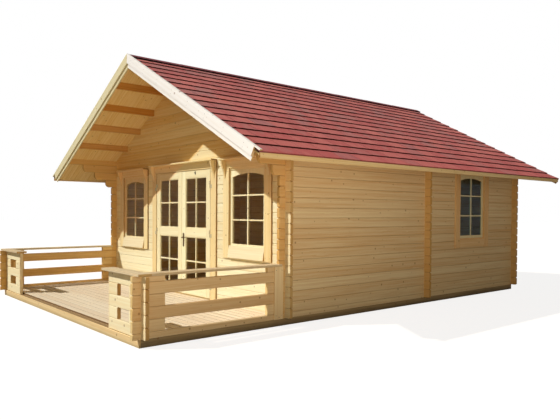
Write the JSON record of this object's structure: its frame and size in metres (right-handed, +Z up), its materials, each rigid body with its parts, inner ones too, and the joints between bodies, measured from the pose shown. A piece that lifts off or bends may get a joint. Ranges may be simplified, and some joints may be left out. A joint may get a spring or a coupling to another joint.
{
  "type": "log cabin",
  "caption": "Small log cabin with a railed front terrace under a deep gable roof, glazed double door, arched windows and red shingles",
  "frame": {"origin": "middle of the overall box, at the ground under the base beams", "axes": "+X to the right seen from the front, +Y from the terrace to the rear, +Z up"},
  "size_m": [6.2652, 8.45, 3.8175],
  "materials": {
    "base_timber": "weathered dark timber",
    "log_wood": "planed pale spruce",
    "roof_wood": "planed golden spruce",
    "deck_wood": "planed boards",
    "trim_wood": "planed pale boards",
    "joinery_wood": "smooth pale joinery",
    "barge_wood": "whitish planed boards",
    "shingle_red": "mineral-faced felt",
    "ridge_brown": "mineral-faced felt",
    "glass": "clear pane",
    "dark_metal": "dark lacquer"
  },
  "bodies": {
    "cabin": {"base_beams": "base_timber", "terrace_edge_board": "trim_wood", "terrace_deck": "deck_wood", "floor": "deck_wood", "left_wall": "log_wood", "right_wall": "log_wood", "rear_wall": "log_wood", "rear_gable": "log_wood", "front_wall_left": "log_wood", "front_wall_right": "log_wood", "wall_over_door": "log_wood", "front_gable": "log_wood", "cross_wall": "log_wood", "purlins": "roof_wood", "roof_boards": "roof_wood", "shingles": "shingle_red", "ridge_cap": "ridge_brown", "eave_boards": "trim_wood", "barge_boards": "barge_wood", "barge_strips": "barge_wood", "barge_caps": "barge_wood", "left_rail": "log_wood", "right_rail": "log_wood", "front_rail_left": "log_wood", "front_rail_right": "log_wood", "rail_caps": "trim_wood", "rail_posts": "trim_wood", "window_frames": "trim_wood", "window_sashes": "joinery_wood", "window_glass": "glass", "window_casings": "trim_wood", "head_boards": "trim_wood", "window_sills": "trim_wood", "hood_boards": "trim_wood", "hood_brackets": "trim_wood", "door_frame": "trim_wood", "door_casings": "trim_wood", "frame_hinges": "dark_metal"},
    "left_door": {"door_leaf_left": "joinery_wood", "door_glass_left": "glass", "leaf_hinges_left": "dark_metal"},
    "right_door": {"door_leaf_right": "joinery_wood", "door_glass_right": "glass", "leaf_hinges_right": "dark_metal", "door_handle": "dark_metal"}
  },
  "joints": [
    {"name": "left_door_hinge", "type": "hinge", "parent": "cabin", "child": "left_door", "pos_m": [-0.80325, -2.101, 1.1155], "axis": [0, 0, -1], "range_deg": [0, 95]},
    {"name": "right_door_hinge", "type": "hinge", "parent": "cabin", "child": "right_door", "pos_m": [0.80325, -2.101, 1.1155], "axis": [0, 0, 1], "range_deg": [0, 95]}
  ]
}
